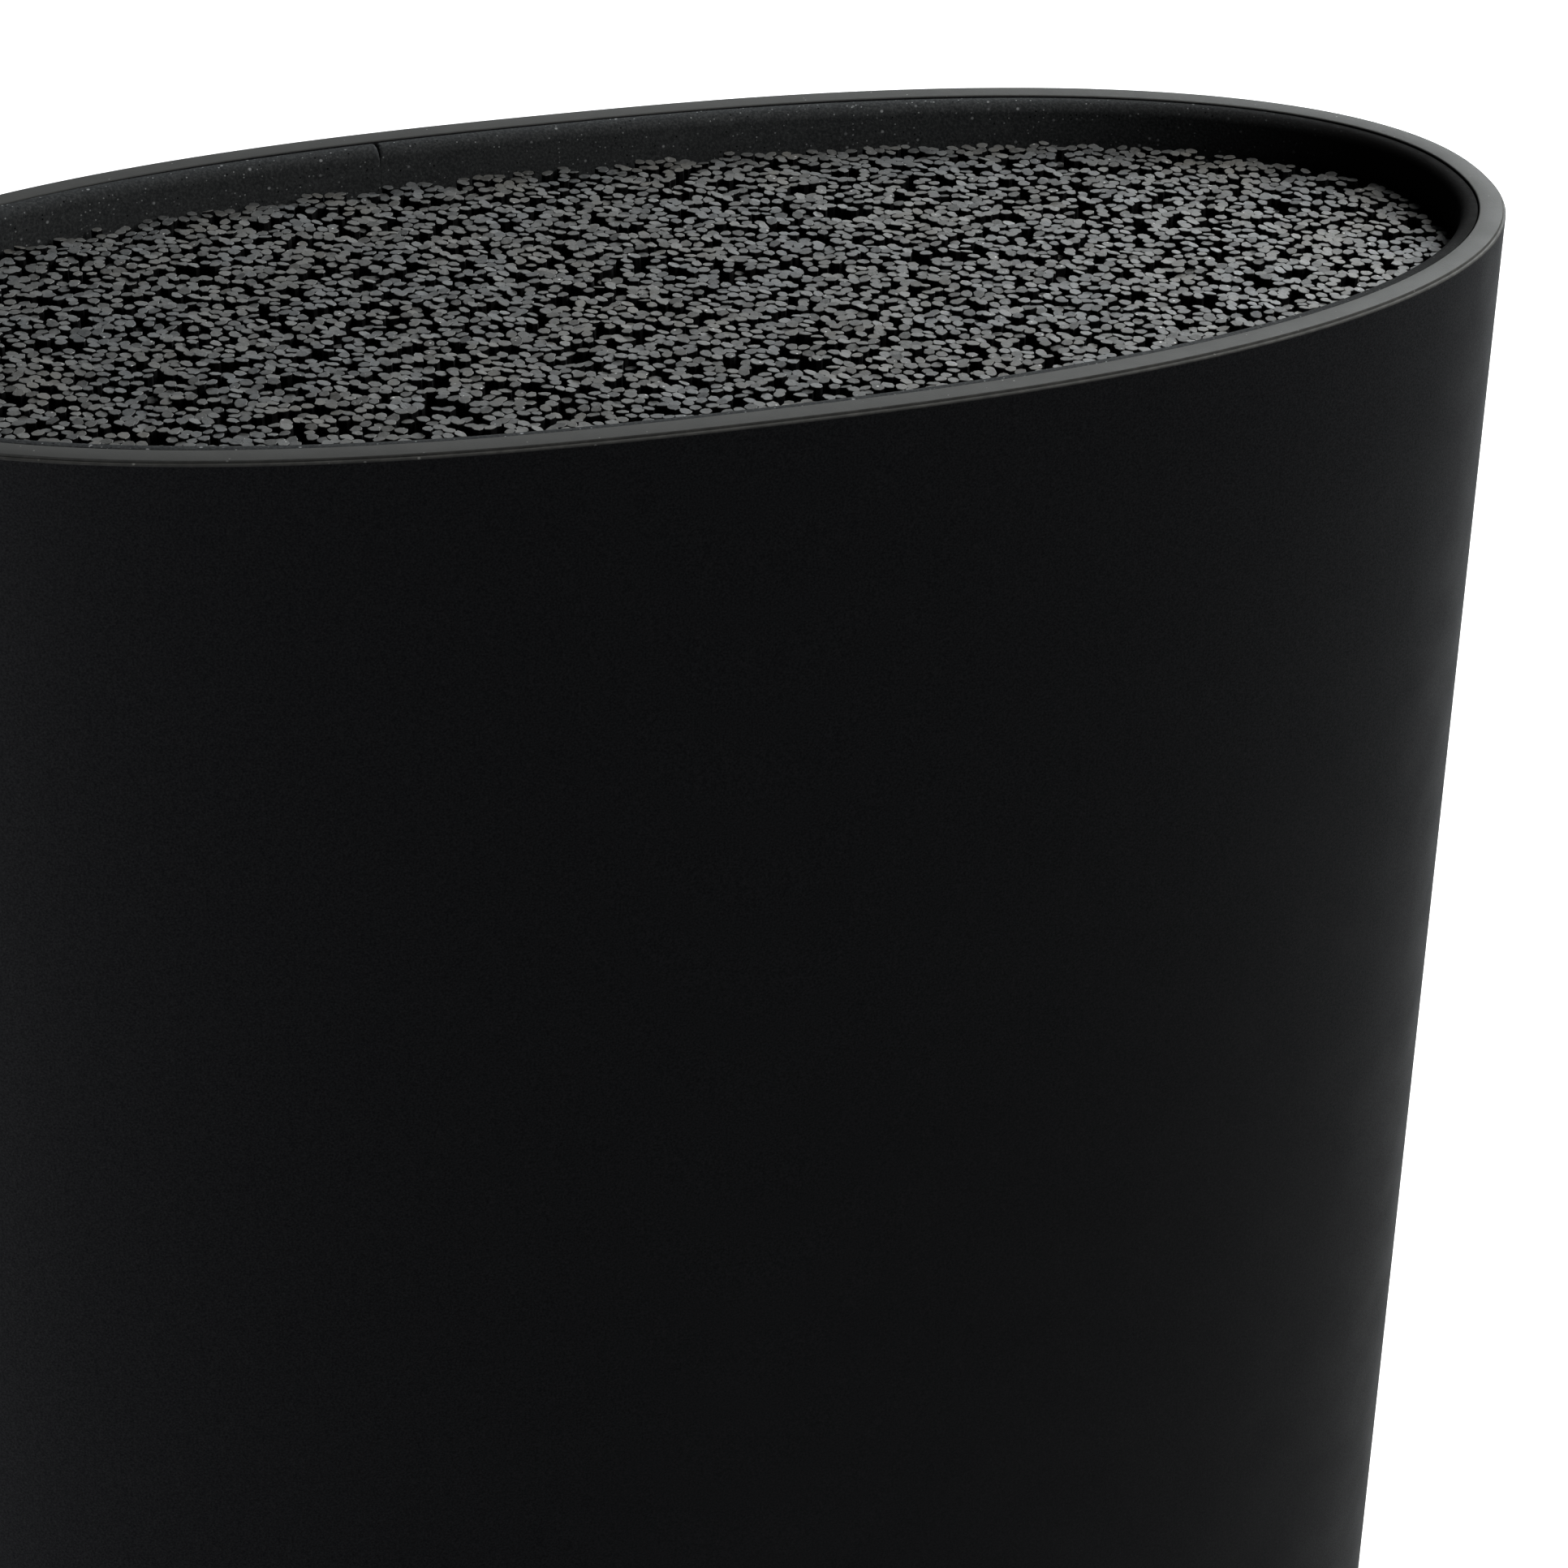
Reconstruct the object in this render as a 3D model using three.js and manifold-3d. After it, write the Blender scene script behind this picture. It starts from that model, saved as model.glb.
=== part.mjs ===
// Oval knife block: a tapered plastic shell on four rubber feet, with a lift-out insert.
// The insert is a sleeve of rolled sheet round a dense bundle of upright plastic filaments.
// A knife is pushed in between the filaments anywhere. There are far too many filaments to
// be separate solids, so each hank here is the space that some of them fill, and the slots
// between the rows of hanks are where blades go.
//
// Millimetres, +Z up, +X along the block, origin on the table at the middle of the footprint.

import * as THREE from 'three';
import { mergeVertices } from 'three/addons/utils/BufferGeometryUtils.js';
import Module from 'manifold-3d';

const wasm = await Module();
wasm.setup();

// ---- Driving dimensions ----------------------------------------------------------------

const HEIGHT = 225;             // table to rim face
const HALF_LENGTH = 90;         // outline at the rim, along X
const HALF_WIDTH = 41.35;       // outline at the rim, along Y
const LENGTH_POWER = 2.435;     // the outline is |x / a|^LENGTH_POWER + |y / b|^WIDTH_POWER = 1
const WIDTH_POWER = 2.125;
const DRAFT = Math.tan(THREE.MathUtils.degToRad(1));  // every wall leans in towards the foot

const WALL = 2.7;               // shell wall, which is also the width of the rim face
const FLOOR = 3;                // shell floor
const FOOT_EDGE_RADIUS = 1.6;   // round at the shell's lower edge
const RIM_STEP = 0.25;          // the rim face stands in and up by this from the outer skin

const GAP = 0.3;                // clearance between neighbouring pieces

const PAD_RADIUS = 7.5;         // rubber feet
const PAD_THICKNESS = 2;
const PAD_STAND = 1.2;          // how far they hold the shell off the table
const PAD_CHAMFER = 0.5;
const PAD_X = 56;
const PAD_Y = 19;

const SLEEVE_WALL = 1.6;
const SLEEVE_BELOW_RIM = 0.2;   // the sleeve's top edge stops just under the rim
const SLEEVE_ROUND = 1.2;       // and is rounded on the side towards the filaments
const SEAM_X = -18.5;           // butt seam where the sheet's ends meet, on the +Y side
const SEAM_WIDTH = 0.3;
const SEAM_CORNER = 0.6;        // the sheet's rounded corners at the top of the seam

const PLATE = 6;                // fused foot that holds the filaments' lower ends
const TIP_DEPTH = 4.2;          // filament tips below the rim, at the middle
const TIP_SLOPE = 0.006;        // they lie deeper towards +X by this much per millimetre

const ROW_THICKNESS = 9;        // rows of hanks run along X
const SLOT = 5;                 // blade slot between two rows
const HANKS_IN_ROW = { 0: 8, 1: 8, 2: 6 };  // by how many rows away from the middle row
const OUTER_ROW = 2;

const SIDES = 96;               // facets round the oval
const AXIS_INSET = 100;         // the inset that stands for the oval's centre line

// ---- Materials -------------------------------------------------------------------------

const plastic = (color, roughness) => new THREE.MeshStandardMaterial({ color, roughness, metalness: 0 });

const softTouchBlack = () => plastic(0x18191b, 0.62);
const sleeveBlack = () => plastic(0x1f2123, 0.55);
const plateBlack = () => plastic(0x17181a, 0.7);
const filamentGrey = () => plastic(0x3a3b3d, 0.6);
const rubberBlack = () => plastic(0x121212, 0.9);

// ---- The oval --------------------------------------------------------------------------

// The point at this angle round the outline, moved inwards by inset along the outline's normal.
function ovalPoint(angle, inset) {
  if (inset >= AXIS_INSET) return new THREE.Vector2(0, 0);
  const c = Math.cos(angle);
  const s = Math.sin(angle);
  const u = Math.sign(c) * Math.abs(c) ** (2 / LENGTH_POWER);
  const v = Math.sign(s) * Math.abs(s) ** (2 / WIDTH_POWER);
  const normal = new THREE.Vector2(
    (Math.sign(u) * LENGTH_POWER * Math.abs(u) ** (LENGTH_POWER - 1)) / HALF_LENGTH,
    (Math.sign(v) * WIDTH_POWER * Math.abs(v) ** (WIDTH_POWER - 1)) / HALF_WIDTH,
  ).normalize();
  return new THREE.Vector2(HALF_LENGTH * u, HALF_WIDTH * v).addScaledVector(normal, -inset);
}

// How far a wall leaning at the common draft has moved in at height z.
const lean = (z) => DRAFT * (HEIGHT - z);

// Height of the filament tips above a place along the block.
const tipHeight = (x) => HEIGHT - TIP_DEPTH - TIP_SLOPE * x;

// A solid whose section is the profile, swept round the oval. A profile point is
// (inset from the rim's outline, height); the profile runs from the underside to the top.
function ovalLathe(profile) {
  const rings = profile.map((p) => new THREE.Vector2(AXIS_INSET - p.x, p.y));
  const geometry = new THREE.LatheGeometry(rings, SIDES);
  const position = geometry.attributes.position;
  for (let i = 0; i < position.count; i++) {
    const reach = Math.hypot(position.getX(i), position.getZ(i));
    const angle = Math.atan2(position.getX(i), position.getZ(i));
    const point = ovalPoint(angle, AXIS_INSET - reach);
    position.setXYZ(i, point.x, point.y, position.getY(i));
  }
  return geometry;
}

// Points of a round corner about (inset, z), from one angle to another in degrees.
// Angle 0 points inwards, 90 up and 180 outwards.
function corner(inset, z, radius, from, to, steps) {
  const points = [];
  for (let i = 0; i <= steps; i++) {
    const angle = THREE.MathUtils.degToRad(from + ((to - from) * i) / steps);
    points.push(new THREE.Vector2(inset + radius * Math.cos(angle), z + radius * Math.sin(angle)));
  }
  return points;
}

// ---- Cutting solids --------------------------------------------------------------------

function toManifold(geometry) {
  const bare = geometry.clone();
  bare.deleteAttribute('normal');
  bare.deleteAttribute('uv');
  const merged = mergeVertices(bare);
  return new wasm.Manifold(new wasm.Mesh({
    numProp: 3,
    vertProperties: new Float32Array(merged.attributes.position.array),
    triVerts: new Uint32Array(merged.index.array),
  }));
}

function toGeometry(manifold) {
  const mesh = manifold.getMesh();
  const geometry = new THREE.BufferGeometry();
  geometry.setAttribute('position', new THREE.BufferAttribute(mesh.vertProperties, 3));
  geometry.setIndex(new THREE.BufferAttribute(mesh.triVerts, 1));
  geometry.computeVertexNormals();
  return geometry;
}

function piece(name, geometry, material) {
  const mesh = new THREE.Mesh(geometry, material);
  mesh.name = name;
  return mesh;
}

// ---- Shell and feet --------------------------------------------------------------------

const padPlaces = [[1, 1], [-1, 1], [-1, -1], [1, -1]].map(([sx, sy]) => [sx * PAD_X, sy * PAD_Y]);

function shellProfile() {
  const underside = PAD_STAND;
  const floorTop = underside + FLOOR;
  const edgeZ = underside + FOOT_EDGE_RADIUS;
  const skinTop = HEIGHT - RIM_STEP;
  return [
    new THREE.Vector2(AXIS_INSET, underside),
    ...corner(lean(edgeZ) + FOOT_EDGE_RADIUS, edgeZ, FOOT_EDGE_RADIUS, 270, 180, 4),
    ...corner(RIM_STEP, skinTop - RIM_STEP, RIM_STEP, 180, 90, 2),
    new THREE.Vector2(RIM_STEP, HEIGHT),
    new THREE.Vector2(WALL, HEIGHT),
    new THREE.Vector2(WALL + lean(floorTop), floorTop),
    new THREE.Vector2(AXIS_INSET, floorTop),
  ];
}

// Round recess in the underside that a rubber foot is pressed into.
function padRecess([x, y]) {
  const depth = PAD_THICKNESS - PAD_STAND + GAP;
  const geometry = new THREE.CylinderGeometry(PAD_RADIUS + GAP, PAD_RADIUS + GAP, 2 * depth, 36);
  geometry.rotateX(Math.PI / 2);
  geometry.translate(x, y, PAD_STAND);
  return geometry;
}

function outerShell() {
  let solid = toManifold(ovalLathe(shellProfile()));
  for (const place of padPlaces) solid = solid.subtract(toManifold(padRecess(place)));
  return piece('outer_shell', toGeometry(solid), softTouchBlack());
}

function rubberFoot(index, [x, y]) {
  const geometry = new THREE.LatheGeometry([
    new THREE.Vector2(0, 0),
    new THREE.Vector2(PAD_RADIUS - PAD_CHAMFER, 0),
    new THREE.Vector2(PAD_RADIUS, PAD_CHAMFER),
    new THREE.Vector2(PAD_RADIUS, PAD_THICKNESS),
    new THREE.Vector2(0, PAD_THICKNESS),
  ], 36);
  geometry.rotateX(Math.PI / 2);
  const foot = piece(`rubber_foot_${index + 1}`, geometry, rubberBlack());
  foot.position.set(x, y, 0);
  return foot;
}

// ---- Insert: sleeve, foot plate and hanks of filaments ---------------------------------

const insertBottom = PAD_STAND + FLOOR + GAP;
const plateTop = insertBottom + PLATE;
const sleeveOuter = WALL + GAP;                 // insets at the rim's height
const sleeveInner = sleeveOuter + SLEEVE_WALL;
const bundleOuter = sleeveInner + GAP;

function sleeveProfile() {
  const top = HEIGHT - SLEEVE_BELOW_RIM;
  const ring = [
    new THREE.Vector2(sleeveInner + lean(insertBottom), insertBottom),
    new THREE.Vector2(sleeveOuter + lean(insertBottom), insertBottom),
    new THREE.Vector2(sleeveOuter + lean(top), top),
    ...corner(sleeveInner - SLEEVE_ROUND + lean(top), top - SLEEVE_ROUND, SLEEVE_ROUND, 90, 0, 4),
  ];
  return [...ring, ring[0].clone()];
}

// Cutter for the butt seam: a narrow slit that opens out at the top between rounded corners.
function seamCutter() {
  const half = SEAM_WIDTH / 2;
  const top = HEIGHT;
  const cornerZ = HEIGHT - SLEEVE_BELOW_RIM - SEAM_CORNER;
  const outline = new THREE.Shape();
  outline.moveTo(-half, 0);
  outline.lineTo(half, 0);
  outline.lineTo(half, cornerZ);
  outline.absarc(half + SEAM_CORNER, cornerZ, SEAM_CORNER, Math.PI, Math.PI / 2, true);
  outline.lineTo(half + SEAM_CORNER, top);
  outline.lineTo(-half - SEAM_CORNER, top);
  outline.absarc(-half - SEAM_CORNER, cornerZ, SEAM_CORNER, Math.PI / 2, 0, true);
  const geometry = new THREE.ExtrudeGeometry(outline, {
    depth: HALF_WIDTH, bevelEnabled: false, curveSegments: 4,
  });
  geometry.rotateX(Math.PI / 2);
  geometry.translate(SEAM_X, HALF_WIDTH, 0);
  return geometry;
}

function insertSleeve() {
  const solid = toManifold(ovalLathe(sleeveProfile())).subtract(toManifold(seamCutter()));
  return piece('insert_sleeve', toGeometry(solid), sleeveBlack());
}

function filamentPlate() {
  const geometry = ovalLathe([
    new THREE.Vector2(AXIS_INSET, insertBottom),
    new THREE.Vector2(bundleOuter + lean(insertBottom), insertBottom),
    new THREE.Vector2(bundleOuter + lean(plateTop), plateTop),
    new THREE.Vector2(AXIS_INSET, plateTop),
  ]);
  return piece('filament_plate', toGeometry(toManifold(geometry)), plateBlack());
}

// The whole bundle of filaments as one tapered solid, taller than any tip.
function bundleSolid() {
  const bottom = plateTop + GAP;
  return toManifold(ovalLathe([
    new THREE.Vector2(AXIS_INSET, bottom),
    new THREE.Vector2(bundleOuter + lean(bottom), bottom),
    new THREE.Vector2(bundleOuter + lean(HEIGHT), HEIGHT),
    new THREE.Vector2(AXIS_INSET, HEIGHT),
  ]));
}

// A box from the table up to the sloping plane of the filament tips.
function cellSolid(x0, x1, y0, y1) {
  const geometry = new THREE.BoxGeometry(x1 - x0, y1 - y0, 1);
  geometry.translate((x0 + x1) / 2, (y0 + y1) / 2, 0);
  const position = geometry.attributes.position;
  for (let i = 0; i < position.count; i++) {
    position.setZ(i, position.getZ(i) > 0 ? tipHeight(position.getX(i)) : 0);
  }
  return toManifold(geometry);
}

// The y range of a row, which is numbered from the middle row out to either side.
function rowSpan(row) {
  if (row === 0) return [-ROW_THICKNESS / 2, ROW_THICKNESS / 2];
  const near = Math.abs(row) * (ROW_THICKNESS + SLOT) - ROW_THICKNESS / 2;
  const far = Math.abs(row) === OUTER_ROW ? HALF_WIDTH : near + ROW_THICKNESS;
  return row > 0 ? [near, far] : [-far, -near];
}

function rowOfHanks(bundle, row) {
  const [y0, y1] = rowSpan(row);
  const strip = bundle.intersect(cellSolid(-HALF_LENGTH, HALF_LENGTH, y0, y1));
  const reach = strip.boundingBox().max[0];
  const count = HANKS_IN_ROW[Math.abs(row)];
  const pitch = (2 * reach) / count;
  const hanks = [];
  for (let i = 0; i < count; i++) {
    const x0 = -reach + i * pitch + GAP;
    const solid = bundle.intersect(cellSolid(x0, x0 + pitch - 2 * GAP, y0, y1));
    hanks.push(piece(`hank_row${row + OUTER_ROW + 1}_${i + 1}`, toGeometry(solid), filamentGrey()));
  }
  return hanks;
}

function insert() {
  const group = new THREE.Group();
  const bundle = bundleSolid();
  group.add(insertSleeve(), filamentPlate());
  for (let row = -OUTER_ROW; row <= OUTER_ROW; row++) group.add(...rowOfHanks(bundle, row));
  return group;
}

// ---- The block -------------------------------------------------------------------------

const knifeBlock = new THREE.Group();
knifeBlock.add(outerShell(), ...padPlaces.map((place, i) => rubberFoot(i, place)), insert());

export default knifeBlock;
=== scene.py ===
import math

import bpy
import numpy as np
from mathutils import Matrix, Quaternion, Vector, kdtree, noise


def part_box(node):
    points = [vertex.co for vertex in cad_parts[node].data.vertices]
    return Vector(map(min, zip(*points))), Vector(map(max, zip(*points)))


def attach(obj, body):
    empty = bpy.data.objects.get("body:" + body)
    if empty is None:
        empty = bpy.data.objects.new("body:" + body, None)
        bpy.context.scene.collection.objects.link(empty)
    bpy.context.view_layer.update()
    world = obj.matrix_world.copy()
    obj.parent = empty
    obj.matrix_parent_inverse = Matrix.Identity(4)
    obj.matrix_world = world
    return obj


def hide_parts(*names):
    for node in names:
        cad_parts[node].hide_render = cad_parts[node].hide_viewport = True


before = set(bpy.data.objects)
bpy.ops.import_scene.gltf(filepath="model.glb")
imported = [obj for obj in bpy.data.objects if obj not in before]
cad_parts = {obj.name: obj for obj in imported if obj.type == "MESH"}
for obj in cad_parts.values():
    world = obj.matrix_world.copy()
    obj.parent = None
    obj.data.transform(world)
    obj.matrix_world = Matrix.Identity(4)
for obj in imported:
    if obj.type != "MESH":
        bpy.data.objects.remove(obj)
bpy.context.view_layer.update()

# Looks of the oval knife block: a soft-touch shell, a rolled plastic sleeve inside it, and a
# bundle of several thousand cut plastic filaments, each made as its own rod.
# Metres, in the frame of the CAD model.

MM = 0.001
GAP = 0.3 * MM                  # clearance between neighbouring pieces in the CAD model
SEED = 7
rng = np.random.default_rng(SEED)
noise.seed_set(SEED)            # without it noise_vector gives another pattern each run

# ---- Sizes -------------------------------------------------------------------------------

SHELL_LOW, SHELL_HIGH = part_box("outer_shell")
SLEEVE_LOW, SLEEVE_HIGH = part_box("insert_sleeve")
PLATE_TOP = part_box("filament_plate")[1][2]

HEIGHT = SHELL_HIGH[2]
HALF_LENGTH = SHELL_HIGH[0]
HALF_WIDTH = SHELL_HIGH[1]
LENGTH_POWER = 2.435            # the outline is |x / a|^LENGTH_POWER + |y / b|^WIDTH_POWER = 1
WIDTH_POWER = 2.125
DRAFT = math.tan(math.radians(1))       # every wall leans in towards the foot
WALL = 2.7 * MM                 # shell wall, which is also the width of the rim face
STATIONS = 420                  # mesh columns round the oval
FINE_STEPS = 20001              # points used to measure along the outline


# ---- The oval ----------------------------------------------------------------------------

def lean(z):
    """How far a wall at the common draft has moved in at height z."""
    return DRAFT * (HEIGHT - z)


def outline(angles, inset):
    """Points round the rim's outline at these angles, moved in along its normal by inset."""
    c, s = np.cos(angles), np.sin(angles)
    u = np.sign(c) * np.abs(c) ** (2 / LENGTH_POWER)
    v = np.sign(s) * np.abs(s) ** (2 / WIDTH_POWER)
    nx = np.sign(u) * LENGTH_POWER * np.abs(u) ** (LENGTH_POWER - 1) / HALF_LENGTH
    ny = np.sign(v) * WIDTH_POWER * np.abs(v) ** (WIDTH_POWER - 1) / HALF_WIDTH
    size = np.hypot(nx, ny)
    return np.stack([HALF_LENGTH * u - inset * nx / size, HALF_WIDTH * v - inset * ny / size], -1)


def even_angles(count, start=0.0, stop=2 * math.pi):
    """Angles from start to stop whose points are evenly spaced along the outline."""
    fine = np.linspace(start, stop, FINE_STEPS)
    step = np.diff(outline(fine, 0.0), axis=0)
    along = np.concatenate([[0], np.cumsum(np.hypot(step[:, 0], step[:, 1]))])
    return np.interp(np.linspace(0, along[-1], count), along, fine)


def arc(inset, z, radius, start, stop, steps):
    """Profile points round a corner. Angle 0 points inwards, 90 up and 180 outwards."""
    turns = np.radians(np.linspace(start, stop, steps + 1))
    return [(inset + radius * math.cos(t), z + radius * math.sin(t)) for t in turns]


def new_piece(name, points, faces, materials, sharp=35):
    """A smooth-shaded mesh object, with edges sharper than that many degrees left hard."""
    mesh = bpy.data.meshes.new(name)
    mesh.from_pydata([tuple(p) for p in points], [], faces)
    mesh.validate()
    mesh.shade_smooth()
    mesh.set_sharp_from_angle(angle=math.radians(sharp))
    piece = bpy.data.objects.new(name, mesh)
    bpy.context.scene.collection.objects.link(piece)
    for material in materials:
        mesh.materials.append(material)
    return piece


def add_values(piece, name, values):
    """A number for each vertex, which a material can read."""
    layer = piece.data.attributes.new(name, "FLOAT", "POINT")
    layer.data.foreach_set("value", np.asarray(values, dtype=np.float32))


def swept(profile, angles):
    """Points of a profile of (inset, z) swept round the oval: profile rows of angle columns."""
    rows = []
    for inset, z in profile:
        xy = outline(angles, inset)
        rows.append(np.column_stack([xy, np.full(len(angles), z)]))
    return np.array(rows)


def grid_faces(rows, columns, around):
    """Quads between neighbouring rows, closed round the columns if around is true."""
    faces = []
    for r in range(rows - 1):
        for c in range(columns if around else columns - 1):
            d = (c + 1) % columns
            faces.append((r * columns + c, r * columns + d, (r + 1) * columns + d, (r + 1) * columns + c))
    return faces


# ---- Materials ---------------------------------------------------------------------------

class Paint:
    """A material being built from nodes around one Principled shader."""

    def __init__(self, name, color, roughness, specular):
        self.material = bpy.data.materials.new(name)
        self.material.use_nodes = True
        self.tree = self.material.node_tree
        self.shader = self.tree.nodes["Principled BSDF"]
        self.shader.inputs["Base Color"].default_value = (*color, 1)
        self.shader.inputs["Roughness"].default_value = roughness
        self.shader.inputs["Specular IOR Level"].default_value = specular
        self.place = self.node("ShaderNodeTexCoord").outputs["Object"]

    def node(self, kind, **settings):
        made = self.tree.nodes.new(kind)
        for key, value in settings.items():
            setattr(made, key, value)
        return made

    def link(self, out, into):
        self.tree.links.new(out, into)

    def grain(self, size, detail=2.0, rough=0.5, stretch=(1, 1, 1)):
        """Noise from 0 to 1 whose grains are about size metres across."""
        mapping = self.node("ShaderNodeMapping")
        mapping.inputs["Scale"].default_value = [k / size for k in stretch]
        self.link(self.place, mapping.inputs["Vector"])
        made = self.node("ShaderNodeTexNoise")
        made.inputs["Scale"].default_value = 1.0
        made.inputs["Detail"].default_value = detail
        made.inputs["Roughness"].default_value = rough
        self.link(mapping.outputs["Vector"], made.inputs["Vector"])
        return made.outputs["Fac"]

    def cells(self, size, **settings):
        """Voronoi cells about size metres across."""
        made = self.node("ShaderNodeTexVoronoi", **settings)
        made.inputs["Scale"].default_value = 1 / size
        self.link(self.place, made.inputs["Vector"])
        return made

    def specks(self, spacing, share):
        """1 in round dots, a third of spacing across, in that share of the cells. 0 elsewhere."""
        cells = self.cells(spacing)
        dots = self.ramp(cells.outputs["Distance"], 0.10, 0.22, 1, 0)
        chosen = self.node("ShaderNodeSeparateColor")
        self.link(cells.outputs["Color"], chosen.inputs["Color"])
        return self.times(dots, self.ramp(chosen.outputs["Red"], 1 - share, 1 - share * 0.6, 0, 1))

    def ramp(self, value, low, high, at_low, at_high):
        """A straight ramp, held level below low and above high."""
        made = self.node("ShaderNodeMapRange")
        sockets = ("From Min", "From Max", "To Min", "To Max")
        for socket, number in zip(sockets, (low, high, at_low, at_high)):
            made.inputs[socket].default_value = number
        self.link(value, made.inputs["Value"])
        return made.outputs["Result"]

    def combine(self, operation, a, b):
        made = self.node("ShaderNodeMath", operation=operation)
        self.link(a, made.inputs[0])
        self.link(b, made.inputs[1])
        return made.outputs["Value"]

    def times(self, a, b):
        return self.combine("MULTIPLY", a, b)

    def either(self, a, b):
        return self.combine("MAXIMUM", a, b)

    def value(self, name):
        """A number stored on the mesh's vertices."""
        return self.node("ShaderNodeAttribute", attribute_name=name).outputs["Fac"]

    def mix(self, factor, a, b):
        """A colour between a and b, each a colour or a socket."""
        made = self.node("ShaderNodeMix", data_type="RGBA")
        self.link(factor, made.inputs["Factor"])
        for socket, color in ((made.inputs[6], a), (made.inputs[7], b)):
            if isinstance(color, tuple):
                socket.default_value = (*color, 1)
            else:
                self.link(color, socket)
        return made.outputs[2]

    def color(self, socket):
        self.link(socket, self.shader.inputs["Base Color"])

    def roughness(self, socket):
        self.link(socket, self.shader.inputs["Roughness"])

    def bump(self, height, depth, strength):
        """Relief of that depth in metres."""
        made = self.node("ShaderNodeBump")
        made.inputs["Strength"].default_value = strength
        made.inputs["Distance"].default_value = depth
        self.link(height, made.inputs["Height"])
        self.link(made.outputs["Normal"], self.shader.inputs["Normal"])


def soft_touch():
    """Rubbery matt coating: fine grain, faint cloudiness, worn edges, and a rim face painted paler,
    partly as bare plastic and partly as painted top light and sheen.
    """
    paint = Paint("soft_touch_shell", (0.012, 0.012, 0.013), 0.5, 0.06)
    cloud = paint.grain(30 * MM, 3)
    grain = paint.grain(0.20 * MM, 3, 0.7)
    coat = paint.mix(cloud, (0.0080, 0.0086, 0.0108), (0.0118, 0.0124, 0.0142))
    coated = paint.mix(paint.ramp(grain, 0.35, 0.75, 0, 1), coat, (0.042, 0.043, 0.046))
    # Painted light: the rim face is paler partly as bare plastic and partly as painted top light and
    # sheen.
    bare_and_lit_rim = paint.mix(paint.grain(2 * MM, 4, 0.6), (0.068, 0.069, 0.068), (0.094, 0.095, 0.093))
    with_bare_and_lit_rim = paint.mix(paint.value("rim"), coated, bare_and_lit_rim)
    wear = paint.ramp(paint.grain(1.1 * MM, 4, 0.7), 0.42, 0.75, 0.1, 1)
    edged = paint.mix(paint.times(paint.value("edge"), wear), with_bare_and_lit_rim, (0.13, 0.13, 0.125))
    chips = paint.times(paint.value("edge"), paint.specks(0.8 * MM, 0.10))
    dust = paint.times(paint.value("rim"), paint.specks(0.5 * MM, 0.03))
    paint.color(paint.mix(paint.either(chips, dust), edged, (0.35, 0.35, 0.34)))
    paint.roughness(paint.ramp(paint.grain(6 * MM, 4), 0.3, 0.7, 0.46, 0.54))
    paint.bump(grain, 0.03 * MM, 0.6)
    return paint.material


def sleeve_sheet():
    """Rolled plastic sheet, dusty, pitted and linty, fading to near-black painted shade at its +X end."""
    paint = Paint("sleeve_sheet", (0.016, 0.017, 0.018), 0.5, 0.015)
    mottle = paint.grain(1.2 * MM, 4, 0.65)
    fine = paint.grain(0.28 * MM, 3, 0.6)
    base = paint.mix(mottle, (0.022, 0.024, 0.026), (0.054, 0.057, 0.059))
    smeared = paint.mix(paint.ramp(fine, 0.42, 0.72, 0, 0.8), base, (0.090, 0.094, 0.097))
    # Painted shade: as the dust value falls towards +X the sheet turns near black.
    dusty_and_shaded = paint.mix(paint.value("dust"), (0.008, 0.008, 0.008), smeared)
    pits = paint.specks(0.6 * MM, 0.22)
    pitted = paint.mix(pits, dusty_and_shaded, (0.004, 0.004, 0.004))
    lint = paint.either(paint.specks(0.5 * MM, 0.30), paint.specks(0.95 * MM, 0.22))
    paint.color(paint.mix(paint.times(lint, paint.value("dust")), pitted, (0.32, 0.33, 0.34)))
    paint.roughness(paint.ramp(mottle, 0.3, 0.7, 0.65, 0.85))
    paint.bump(fine, 0.06 * MM, 0.7)
    return paint.material


def filament_tip():
    """Cut end of a filament: pale matt grey, each one its own tone, with a scuffed face."""
    paint = Paint("filament_tip", (0.1, 0.1, 0.1), 0.6, 0.4)
    scuff = paint.grain(0.35 * MM, 4, 0.65)
    tint = paint.ramp(paint.grain(7 * MM, 3, 0.6), 0.35, 0.65, 0, 1)
    dark = paint.mix(tint, (0.055, 0.060, 0.064), (0.060, 0.060, 0.055))
    pale = paint.mix(tint, (0.128, 0.138, 0.144), (0.146, 0.142, 0.128))
    tone = paint.mix(paint.value("tone"), dark, pale)
    scuffed = paint.mix(paint.ramp(scuff, 0.4, 0.72, 0, 0.6), tone, (0.20, 0.20, 0.20))
    glints = paint.either(paint.specks(0.7 * MM, 0.07), paint.specks(0.35 * MM, 0.04))
    paint.color(paint.mix(glints, scuffed, (0.75, 0.75, 0.75)))
    paint.roughness(paint.ramp(scuff, 0.3, 0.7, 0.42, 0.7))
    paint.bump(scuff, 0.08 * MM, 0.7)
    return paint.material


def filament_side():
    """Drawn side of a filament: near black, faintly streaked along its length."""
    paint = Paint("filament_side", (0.005, 0.005, 0.005), 0.5, 0.12)
    streaks = paint.grain(0.25 * MM, 2, 0.5, (1, 1, 0.05))
    paint.color(paint.mix(streaks, (0.002, 0.002, 0.002), (0.009, 0.009, 0.0095)))
    paint.roughness(paint.ramp(streaks, 0.3, 0.7, 0.42, 0.6))
    paint.bump(streaks, 0.03 * MM, 0.4)
    return paint.material


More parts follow.
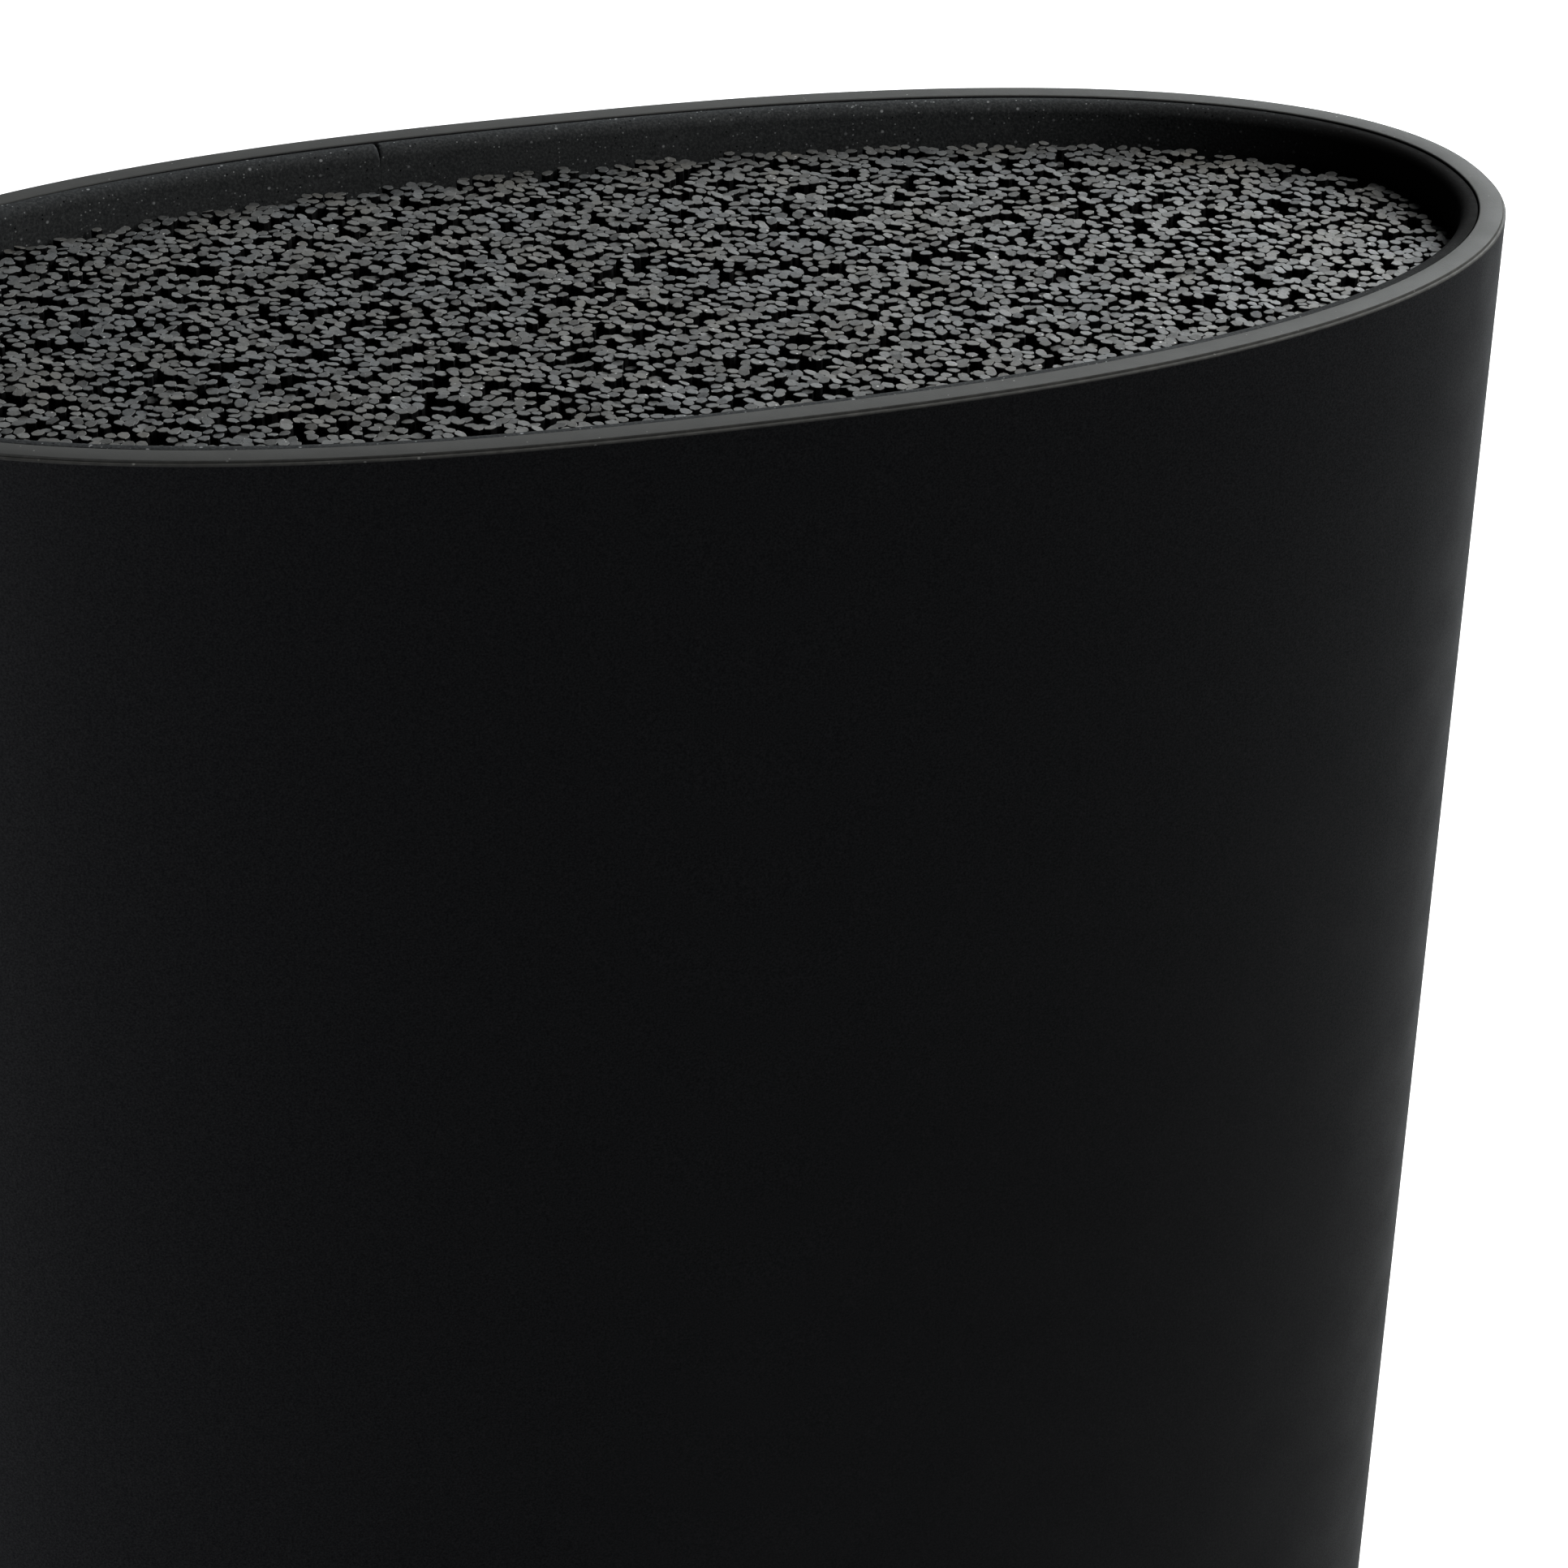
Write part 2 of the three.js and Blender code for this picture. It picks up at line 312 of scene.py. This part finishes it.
def melted_plate():
    """Fused foot of the bundle: melted filament ends run together, with painted shade darkening the
    valleys between the lumps.
    """
    paint = Paint("fused_plate", (0.013, 0.013, 0.014), 0.55, 0.5)
    lumps = paint.cells(1.5 * MM, feature="SMOOTH_F1").outputs["Distance"]
    # Painted shade: the valleys between the lumps are coloured darker.
    shaded_valleys = paint.ramp(lumps, 0.1, 0.7, 0, 1)
    paint.color(paint.mix(shaded_valleys, (0.020, 0.020, 0.021), (0.007, 0.007, 0.008)))
    paint.roughness(paint.ramp(paint.grain(3 * MM, 3), 0.3, 0.7, 0.38, 0.7))
    paint.bump(paint.ramp(lumps, 0, 0.8, 1, 0), 0.25 * MM, 0.8)
    return paint.material


def foot_rubber():
    """Black rubber, dusty and slightly scuffed."""
    paint = Paint("rubber_feet", (0.02, 0.02, 0.02), 0.85, 0.3)
    grain = paint.grain(0.5 * MM, 3, 0.6)
    scuffs = paint.ramp(paint.grain(4 * MM, 4), 0.5, 0.8, 0, 0.6)
    paint.color(paint.mix(scuffs, (0.014, 0.014, 0.014), (0.05, 0.048, 0.045)))
    paint.roughness(paint.ramp(grain, 0.3, 0.7, 0.75, 0.95))
    paint.bump(grain, 0.05 * MM, 0.5)
    return paint.material


# ---- Shell -------------------------------------------------------------------------------

FLOOR = 3 * MM
FLOOR_FILLET = 2 * MM           # inside, where the wall meets the floor
FOOT_EDGE_RADIUS = 1.6 * MM     # round at the lower edge
RIM_STEP = 0.25 * MM            # the rim face stands this far above the rounded outer bead
BEAD = 0.20 * MM                # radius of that bead
GROOVE_IN = 0.09 * MM           # the groove between bead and face, in from the bead's top
GROOVE_DEEP = 0.02 * MM
LIP_IN = 0.12 * MM              # where the face's outer corner starts, in from the bead's top
LIP = 0.07 * MM                 # radius of that corner
INNER_ROUND = 0.15 * MM         # radius of the face's inner corner
RIM_BAND = 0.23 * MM            # the paler rim face, partly bare plastic and partly painted top light, reaches this far below the step
EDGE_BAND = 0.35 * MM           # width of the chipped edge, in from the outer skin


def shell_profile():
    """(inset, z) from the underside up the outer wall, over the rim and down to the floor."""
    floor_top = SHELL_LOW[2] + FLOOR
    edge_z = SHELL_LOW[2] + FOOT_EDGE_RADIUS
    bead_z = HEIGHT - RIM_STEP - BEAD
    inner_low = floor_top + FLOOR_FILLET
    return (
        arc(lean(edge_z) + FOOT_EDGE_RADIUS, edge_z, FOOT_EDGE_RADIUS, 270, 180, 8)
        + [(lean(z), z) for z in np.linspace(edge_z + 4 * MM, bead_z - 1.5 * MM, 12)]
        + [(0, bead_z - 0.05 * MM)]
        + arc(BEAD, bead_z, BEAD, 180, 90, 6)
        + [(BEAD + GROOVE_IN, bead_z + BEAD - GROOVE_DEEP)]
        + arc(BEAD + LIP_IN + LIP, HEIGHT - LIP, LIP, 165, 90, 3)
        + arc(WALL - INNER_ROUND, HEIGHT - INNER_ROUND, INNER_ROUND, 90, 0, 4)
        + [(WALL, HEIGHT - 0.2 * MM)]
        + [(WALL + lean(z), z) for z in np.linspace(HEIGHT - 4 * MM, inner_low, 8)]
        + arc(WALL + lean(floor_top) + FLOOR_FILLET, inner_low, FLOOR_FILLET, 180, 270, 5)[1:]
    )


def build_shell(material):
    profile = shell_profile()
    rows = len(profile)
    points = swept(profile, even_angles(STATIONS + 1)[:-1])
    faces = grid_faces(rows, STATIONS, True)
    faces.append(tuple(reversed(range(STATIONS))))
    faces.append(tuple((rows - 1) * STATIONS + i for i in range(STATIONS)))
    shell = new_piece("shell", points.reshape(-1, 3), faces, [material])
    inset, z = np.array(profile).T
    top = z > HEIGHT - RIM_STEP - RIM_BAND
    add_values(shell, "edge", np.repeat((top & (inset < EDGE_BAND)).astype(float), STATIONS))
    # The rim face's paler colour is partly bare plastic and partly painted top light and sheen.
    add_values(shell, "rim", np.repeat((top & (inset < WALL)).astype(float), STATIONS))
    cut_foot_recesses(shell)
    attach(shell, "shell")
    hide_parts("outer_shell")


def foot_places():
    """Each rubber foot's centre, radius, base and top, from its CAD node."""
    places = []
    for i in range(1, 5):
        low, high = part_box(f"rubber_foot_{i}")
        centre = ((low[0] + high[0]) / 2, (low[1] + high[1]) / 2)
        places.append((centre, (high[0] - low[0]) / 2, low[2], high[2]))
    return places


def lathe(name, profile, centre, material, sides=64):
    """A round piece from (radius, z) points, flat at both ends."""
    points = []
    for radius, z in profile:
        for k in range(sides):
            turn = 2 * math.pi * k / sides
            points.append((centre[0] + radius * math.cos(turn), centre[1] + radius * math.sin(turn), z))
    faces = grid_faces(len(profile), sides, True)
    faces.append(tuple(reversed(range(sides))))
    faces.append(tuple((len(profile) - 1) * sides + k for k in range(sides)))
    return new_piece(name, points, faces, [material])


def cut_foot_recesses(shell):
    """The round seats in the underside that the rubber feet are pressed into."""
    below = SHELL_LOW[2] - 1 * MM
    for centre, radius, _, top in foot_places():
        walls = [(radius + GAP, below), (radius + GAP, top + GAP)]
        cutter = lathe("cutter", walls, centre, shell.data.materials[0])
        cut = shell.modifiers.new("recess", "BOOLEAN")
        cut.object = cutter
        cut.operation = "DIFFERENCE"
        bpy.context.view_layer.objects.active = shell
        bpy.ops.object.modifier_apply(modifier=cut.name)
        bpy.data.objects.remove(cutter)


FOOT_ROUND = 0.6 * MM           # radius of a foot's lower edge
HOLLOW_DEEP = 0.3 * MM          # round hollow moulded in the middle of its face
HOLLOW_FLOOR = 0.45             # size of the hollow's floor and mouth, times the foot's radius
HOLLOW_MOUTH = 0.55


def build_feet(material):
    """Rubber feet with a rounded edge and a shallow round hollow moulded in the face."""
    for i, (centre, radius, base, top) in enumerate(foot_places(), 1):
        profile = [(radius * HOLLOW_FLOOR, base + HOLLOW_DEEP), (radius * HOLLOW_MOUTH, base)]
        profile.append((radius - FOOT_ROUND, base))
        for turn in np.radians(np.linspace(-90, 0, 6))[1:]:
            x, z = FOOT_ROUND * math.cos(turn), FOOT_ROUND * math.sin(turn)
            profile.append((radius - FOOT_ROUND + x, base + FOOT_ROUND + z))
        profile.append((radius, top))
        foot = lathe(f"foot_{i}", profile, centre, material)
        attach(foot, "shell")
        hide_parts(f"rubber_foot_{i}")


# ---- Sleeve ------------------------------------------------------------------------------

SLEEVE_OUTER = WALL + 0.12 * MM         # the rolled sheet springs out almost to the shell
SLEEVE_INNER = WALL + GAP + 1.6 * MM    # its inner face is where the CAD model has it
SLEEVE_ROUND = 1.2 * MM         # the top edge is rounded on its inner side
SLEEVE_NICK = 0.1 * MM          # and barely rounded on its outer side
SEAM_X = -18.5 * MM
SEAM_SEARCH = 2001              # angles tried to find it
SEAM_WIDTH = 0.02 * MM          # the sheet's edges all but touch
SEAM_CORNER = 0.5 * MM          # radius of its corners at the top of the seam
WAVER = 0.06 * MM               # unevenness of the top edge, over waves of this length
WAVER_LENGTH = 30 * MM
PROUD = 0.15 * MM               # how much higher the edge stands at the -X end
PROUD_FROM = 25 * MM            # starting this far towards -X from the middle
PROUD_OVER = 35 * MM            # and rising over this distance
DUST_AND_SHADE_FADE = (48 * MM, 82 * MM)  # towards +X the dust gives way, between these, to near-black painted shade


def seam_angle():
    """Where on the outline, on the +Y side, the butt seam stands."""
    turn = np.linspace(math.pi / 2, math.pi, SEAM_SEARCH)
    return float(np.interp(-SEAM_X, -outline(turn, SLEEVE_OUTER)[:, 0], turn))


def sleeve_angles():
    """Stations round the sheet from one edge of the seam to the other, closer at its corners,
    and how far a metre along the outline turns there."""
    seam = seam_angle()
    near = 0.01
    before, after = outline(np.array([seam - near, seam + near]), SLEEVE_OUTER)
    per_metre = 2 * near / np.hypot(*(after - before))
    start = seam + SEAM_WIDTH / 2 * per_metre
    stop = seam - SEAM_WIDTH / 2 * per_metre + 2 * math.pi
    corner = SEAM_CORNER * per_metre
    middle = even_angles(STATIONS, start + corner, stop - corner)
    fine = (1 - np.cos(np.linspace(0, math.pi / 2, 9)[:-1])) * corner
    return np.concatenate([start + fine, middle, (stop - fine)[::-1]]), per_metre


def sleeve_top(angles, per_metre):
    """Height of the sheet's edge: a little uneven, proud towards -X, and rounded at the seam."""
    start, stop = angles[0], angles[-1]
    x, y = outline(angles, SLEEVE_OUTER).T
    waves = [Vector((a / WAVER_LENGTH, b / WAVER_LENGTH, 0)) for a, b in zip(x, y)]
    waver = np.array([noise.noise(wave) for wave in waves])
    rise = np.clip((-x - PROUD_FROM) / PROUD_OVER, 0, 1)
    top = SLEEVE_HIGH[2] + WAVER * waver + PROUD * rise * rise * (3 - 2 * rise)
    from_edge = np.minimum(angles - start, stop - angles) / per_metre
    inside = np.clip(1 - from_edge / SEAM_CORNER, 0, 1)
    return top - SEAM_CORNER * (1 - np.sqrt(1 - inside**2))


def sleeve_profile():
    """(inset, offset, share) up the outside, over the edge and down inside. A point's height is
    that share of the way up from the sheet's bottom to its local top, plus the offset."""
    outside = [(SLEEVE_OUTER, 0, share) for share in np.linspace(0, 1, 7)[:-1]]
    edge = arc(SLEEVE_OUTER + SLEEVE_NICK, -SLEEVE_NICK, SLEEVE_NICK, 180, 90, 2)
    edge += arc(SLEEVE_INNER - SLEEVE_ROUND, -SLEEVE_ROUND, SLEEVE_ROUND, 90, 0, 9)
    inside = [(SLEEVE_INNER, 0, share) for share in np.linspace(1, 0, 12)[1:]]
    return outside + [(inset, offset, 1) for inset, offset in edge] + inside


def build_sleeve(material):
    angles, per_metre = sleeve_angles()
    top = sleeve_top(angles, per_metre)
    bottom = SLEEVE_LOW[2]
    rows = []
    for inset, offset, share in sleeve_profile():
        z = bottom + (top - bottom) * share + offset
        rows.append(np.column_stack([outline(angles, inset + lean(z)), z]))
    count, columns = len(rows), len(angles)
    faces = grid_faces(count, columns, False)
    last = (count - 1) * columns
    faces += [(last + c, last + c + 1, c + 1, c) for c in range(columns - 1)]
    faces.append(tuple(r * columns for r in range(count)))
    faces.append(tuple(r * columns + columns - 1 for r in reversed(range(count))))
    points = np.concatenate(rows)
    sleeve = new_piece("sleeve", points, faces, [material])
    # Dust value, 1 towards -X; its fall to 0 towards +X paints near-black shade on the sheet.
    add_values(sleeve, "dust", np.interp(points[:, 0], DUST_AND_SHADE_FADE, [1, 0]))
    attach(sleeve, "insert")
    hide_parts("insert_sleeve")


# ---- Filaments ---------------------------------------------------------------------------

TIP_DEPTH = 4.2 * MM            # filament tips below the rim at the middle of the block
TIP_SLOPE = 0.006               # and this much deeper per metre towards +X
TIP_UNEVEN = 0.10 * MM          # spread of the tips' heights
SHORT_SHARE = 0.08              # this share of the rods is cut shorter
SHORT_BY = 0.5 * MM

ROD_RADIUS = 0.62 * MM
ROD_SIDES = 8
ROD_RINGS = 4                   # foot, bend, below the cut edge, and cut end
ROD_BEND = 16 * MM              # a rod leans towards its clump over this much of its top
ROD_BEVEL = 0.045 * MM          # height of the softened edge of its cut end
ROD_FOOT_SIZE = 0.96            # its foot and cut end against its full section
ROD_END_SIZE = 0.93
CUT_SLOPE = 0.08                # spread of the cut ends' tilt, as rise over run
THICKNESS = (0.93, 1.08)        # thinnest and thickest rod, times ROD_RADIUS
OVALNESS = 0.11
LOBES = 0.07                    # a slight three-sided swelling
ROUGHNESS = (0.93, 1.06)        # unevenness of the section's corners

ROD_PITCH = 1.41 * MM           # average spacing where the rods stand parallel
ROD_SCATTER = 0.45 * MM         # and how irregular it is
MISSING_SHARE = 0.03            # places in the bundle left empty
EDGE_ROOM = ROD_RADIUS + 0.1 * MM       # from the sleeve to the nearest rod's centre
BORDER_POINTS = 4001            # points that the bundle's border is tested with
NEIGHBOURS = 7                  # rods looked at round each rod, with itself
STIFFNESS = 0.4                 # share of an overlap that is undone in one step
SETTLE_STEPS = 14
STANDING_TOUCH = 2.02 * ROD_RADIUS      # how near two rods stand to each other

CLUMP_STEPS = 16
CLUMP_PULL = np.array([0.08, 0.26])     # stronger across the block, so clumps run along it
TIP_TOUCH = 1.76 * ROD_RADIUS   # how near two tips are pressed in a clump
TIP_REACH = 1.45 * TIP_TOUCH    # tips nearer than this draw together
SPRING_BACK = 0.02              # share of its lean that a rod takes back in one step
EDGE_PULL = 0.6                 # the same for a rod that has left the bundle
DRIFT = 0.5 * MM                # tips drift together by this much
DRIFT_WAVE = (3.0 * MM, 2.2 * MM)       # in waves of this length in x and y
NOISE_SLICE = 1.7               # any height in the noise, for a different pattern
TIP_SCATTER = 0.10 * MM


def inside_bundle(xy, inset):
    """True for points inside the outline moved in by inset, by comparing polar reach."""
    border = outline(np.linspace(-math.pi, math.pi, BORDER_POINTS), inset)
    way = np.arctan2(border[:, 1], border[:, 0])
    order = np.argsort(way)
    far = np.hypot(border[:, 0], border[:, 1])
    reach = np.interp(np.arctan2(xy[:, 1], xy[:, 0]), way[order], far[order])
    return np.hypot(xy[:, 0], xy[:, 1]) < reach


def neighbour_ways(xy):
    """For each rod, the vectors from its nearest neighbours to it, and their lengths."""
    tree = kdtree.KDTree(len(xy))
    for i, (x, y) in enumerate(xy):
        tree.insert((x, y, 0), i)
    tree.balance()
    near = np.array([[k[1] for k in tree.find_n((x, y, 0), NEIGHBOURS)][1:] for x, y in xy])
    away = xy[:, None] - xy[near]
    return away, np.maximum(np.linalg.norm(away, axis=2, keepdims=True), 1e-6)


def spread_apart(away, gap, touch):
    """The step that takes each rod off the neighbours it overlaps."""
    return (away / gap * np.clip(touch - gap, 0, None)).sum(1) * STIFFNESS


def standing_places():
    """Rod centres scattered over the bundle without overlapping, as it stands below its tips."""
    rise = ROD_PITCH * math.sqrt(3) / 2
    across = np.arange(-HALF_WIDTH, HALF_WIDTH, rise)
    along = np.arange(-HALF_LENGTH, HALF_LENGTH, ROD_PITCH)
    x, y = np.meshgrid(along, across)
    xy = np.column_stack([x.ravel(), y.ravel()]) + rng.normal(0, ROD_SCATTER, (x.size, 2))
    xy = xy[inside_bundle(xy, SLEEVE_INNER + EDGE_ROOM)]
    xy = xy[rng.random(len(xy)) > MISSING_SHARE]
    for _ in range(SETTLE_STEPS):
        away, gap = neighbour_ways(xy)
        moved = xy + spread_apart(away, gap, STANDING_TOUCH)
        stay = ~inside_bundle(moved, SLEEVE_INNER + EDGE_ROOM)
        moved[stay] = xy[stay]
        xy = moved
    return xy


def clumped(standing):
    """Where the rods' tips end up: drawn together in clumps with gaps between them."""
    waves = [Vector((x / DRIFT_WAVE[0], y / DRIFT_WAVE[1], NOISE_SLICE)) for x, y in standing]
    drift = np.array([noise.noise_vector(wave)[:2] for wave in waves])
    tips = standing + drift * DRIFT + rng.normal(0, TIP_SCATTER, standing.shape)
    for _ in range(CLUMP_STEPS):
        away, gap = neighbour_ways(tips)
        loose = (gap > TIP_TOUCH) & (gap < TIP_REACH)
        pull = (away / gap * np.where(loose, gap - TIP_TOUCH, 0)).sum(1)
        push = spread_apart(away, gap, TIP_TOUCH)
        tips = tips + push - CLUMP_PULL * pull + (standing - tips) * SPRING_BACK
        out = ~inside_bundle(tips, SLEEVE_INNER + EDGE_ROOM)
        tips[out] += (standing[out] - tips[out]) * EDGE_PULL
    return tips


def rod_section():
    """One rod's irregular section, as offsets from its centre."""
    turn = np.arange(ROD_SIDES) * 2 * math.pi / ROD_SIDES + rng.uniform(0, math.pi)
    radius = ROD_RADIUS * rng.uniform(*THICKNESS)
    oval = OVALNESS * np.cos(2 * turn + rng.uniform(0, 6))
    lobes = LOBES * np.cos(3 * turn + rng.uniform(0, 6))
    reach = radius * (1 + oval + lobes) * rng.uniform(*ROUGHNESS, ROD_SIDES)
    return np.column_stack([reach * np.cos(turn), reach * np.sin(turn)])


def tip_height(x):
    """Height of one rod's cut end, above a place along the block."""
    height = HEIGHT - TIP_DEPTH - TIP_SLOPE * x + rng.normal(0, TIP_UNEVEN)
    if rng.random() < SHORT_SHARE:
        height -= abs(rng.normal(0, SHORT_BY))
    return height


def rod_points(standing, tip):
    """Rings of one rod from its foot to its cut end, lowest first."""
    section = rod_section()
    height = tip_height(tip[0])
    foot = PLATE_TOP + GAP
    at_foot = standing * (1 - lean(foot) / HALF_LENGTH, 1 - lean(foot) / HALF_WIDTH)
    bend = height - ROD_BEND
    along = (bend - foot) / (height - foot)
    at_bend = at_foot + (standing - at_foot) * along
    level = np.zeros(ROD_SIDES)
    tilt = section @ rng.normal(0, CUT_SLOPE, 2)
    rings = (
        (at_foot, foot + level, ROD_FOOT_SIZE),
        (at_bend, bend + level, 1),
        (tip, height - ROD_BEVEL + tilt, 1),
        (tip, height + tilt, ROD_END_SIZE),
    )
    return np.concatenate([np.column_stack([at + section * size, z]) for at, z, size in rings])


def nearest_hank(xy, boxes):
    """Index of the hank whose footprint each point is in or nearest to."""
    low = np.array([b[0][:2] for b in boxes])
    high = np.array([b[1][:2] for b in boxes])
    off = np.maximum(np.maximum(low[None] - xy[:, None], xy[:, None] - high[None]), 0)
    return np.hypot(off[..., 0], off[..., 1]).argmin(1)


def rod_faces(first):
    """Faces of one rod whose vertices start at number first: its sides, cut end and foot."""
    faces = [tuple(first + i for i in face) for face in grid_faces(ROD_RINGS, ROD_SIDES, True)]
    faces.append(tuple(first + (ROD_RINGS - 1) * ROD_SIDES + s for s in range(ROD_SIDES)))
    faces.append(tuple(first + s for s in reversed(range(ROD_SIDES))))
    return faces


def build_filaments(side, tip):
    """Every rod of the bundle, grouped by the hank that stands for it in the frame."""
    names = sorted(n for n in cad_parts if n.startswith("hank_"))
    standing = standing_places()
    tips = clumped(standing)
    owner = nearest_hank(standing, [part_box(n) for n in names])
    per_rod = ROD_RINGS * ROD_SIDES
    drawn = (ROD_RINGS - 2) * ROD_SIDES     # faces below the bevel
    tip_or_side = [0] * drawn + [1] * ROD_SIDES + [1, 0]
    for index, name in enumerate(names):
        points, faces, tones, slots = [], [], [], []
        for k, rod in enumerate(np.flatnonzero(owner == index)):
            points.append(rod_points(standing[rod], tips[rod]))
            faces += rod_faces(k * per_rod)
            tones += [rng.random()] * per_rod
            slots += tip_or_side
        filaments = name.replace("hank", "filaments")
        piece = new_piece(filaments, np.concatenate(points), faces, [side, tip], 30)
        add_values(piece, "tone", tones)
        piece.data.polygons.foreach_set("material_index", np.array(slots, dtype=np.int32))
        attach(piece, "insert")
        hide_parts(name)


# ---- Stage -------------------------------------------------------------------------------

CAMERA_AZIMUTH = -15.515        # degrees, negative to the left of the block's broad side
CAMERA_ELEVATION = 22.136       # degrees
CAMERA_DISTANCE = 467 * MM      # from the middle of the rim
CAMERA_AIM = Vector((7.2, -25.3, -47.0)) * MM   # from the middle of the rim
CAMERA_ROLL = 0.727             # degrees
LENS = 108.07                   # millimetres
SENSOR = 36                     # millimetres

FLOOR_REACH = 4.0               # metres from the block to the edges of the stage floor
FLOOR_GLOW = 0.03               # glow of the floor in reflections
FLOOR_SHOWN = 0.85              # and as the camera sees it


def add_camera():
    camera = bpy.data.objects.new("camera", bpy.data.cameras.new("camera"))
    bpy.context.scene.collection.objects.link(camera)
    rim = Vector((0, 0, HEIGHT))
    azimuth = math.radians(CAMERA_AZIMUTH)
    elevation = math.radians(CAMERA_ELEVATION)
    way = Vector((
        math.sin(azimuth) * math.cos(elevation),
        -math.cos(azimuth) * math.cos(elevation),
        math.sin(elevation),
    ))
    camera.location = rim + way * CAMERA_DISTANCE
    level = (rim + CAMERA_AIM - camera.location).to_track_quat("-Z", "Y")
    roll = Quaternion((0, 0, 1), math.radians(CAMERA_ROLL))
    camera.rotation_euler = (level @ roll).to_euler()
    camera.data.lens = LENS
    camera.data.sensor_width = SENSOR
    camera.data.clip_start = 0.01
    bpy.context.scene.camera = camera


def softbox(name, place, aim, size, power, color=(1, 1, 1)):
    data = bpy.data.lights.new(name, "AREA")
    data.shape = "RECTANGLE"
    data.size, data.size_y = size
    data.energy = power
    data.color = color
    light = bpy.data.objects.new(name, data)
    bpy.context.scene.collection.objects.link(light)
    light.location = place
    light.rotation_euler = (Vector(aim) - Vector(place)).to_track_quat("-Z", "Y").to_euler()


def add_lights():
    """A box up on the right, two behind for the rim, and a card low on the left."""
    top = (0, 0, HEIGHT)
    softbox("key", (0.24, -0.06, 0.46), top, (0.22, 0.22), 0.9, (1.0, 0.99, 0.96))
    softbox("back", (0.55, 0.50, 0.60), top, (0.5, 0.5), 5.6, (0.94, 0.985, 1.0))
    softbox("horizon", (0.35, 0.85, 0.55), top, (0.8, 0.5), 0.8, (0.97, 0.99, 1.0))
    softbox("card", (-0.80, -0.15, 0.09), (0, 0, 0.10), (0.4, 0.14), 2.6)


def add_world():
    """White to the camera, a dim grey room to everything else."""
    world = bpy.data.worlds.new("world")
    world.use_nodes = True
    bpy.context.scene.world = world
    tree = world.node_tree
    room = tree.nodes["Background"]
    room.inputs["Color"].default_value = (0.9, 0.95, 1.0, 1)
    room.inputs["Strength"].default_value = 0.015
    white = tree.nodes.new("ShaderNodeBackground")
    white.inputs["Color"].default_value = (1, 1, 1, 1)
    white.inputs["Strength"].default_value = 1.1
    path = tree.nodes.new("ShaderNodeLightPath")
    mix = tree.nodes.new("ShaderNodeMixShader")
    tree.links.new(path.outputs["Is Camera Ray"], mix.inputs["Fac"])
    tree.links.new(room.outputs["Background"], mix.inputs[1])
    tree.links.new(white.outputs["Background"], mix.inputs[2])
    tree.links.new(mix.outputs["Shader"], tree.nodes["World Output"].inputs["Surface"])


def add_floor():
    """A pale floor, nearly white to the camera, that sends no diffuse light to the block."""
    paint = Paint("stage_floor", (0.86, 0.86, 0.86), 0.8, 0.2)
    paint.shader.inputs["Emission Color"].default_value = (1, 1, 1, 1)
    to_camera = paint.node("ShaderNodeLightPath").outputs["Is Camera Ray"]
    glow = paint.ramp(to_camera, 0, 1, FLOOR_GLOW, FLOOR_SHOWN)
    paint.link(glow, paint.shader.inputs["Emission Strength"])
    corners = [(x * FLOOR_REACH, y * FLOOR_REACH, 0) for x, y in ((-1, -1), (1, -1), (1, 1), (-1, 1))]
    floor = new_piece("stage_floor", corners, [(0, 1, 2, 3)], [paint.material])
    floor.visible_diffuse = False


def dress_plate(material):
    """The fused plate keeps its CAD shape and only gets its material."""
    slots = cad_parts["filament_plate"].data.materials
    slots.clear()
    slots.append(material)


def main():
    add_camera()
    add_world()
    add_lights()
    add_floor()
    build_shell(soft_touch())
    build_feet(foot_rubber())
    build_sleeve(sleeve_sheet())
    build_filaments(filament_side(), filament_tip())
    dress_plate(melted_plate())
    bpy.context.scene.view_settings.view_transform = "Standard"


main()
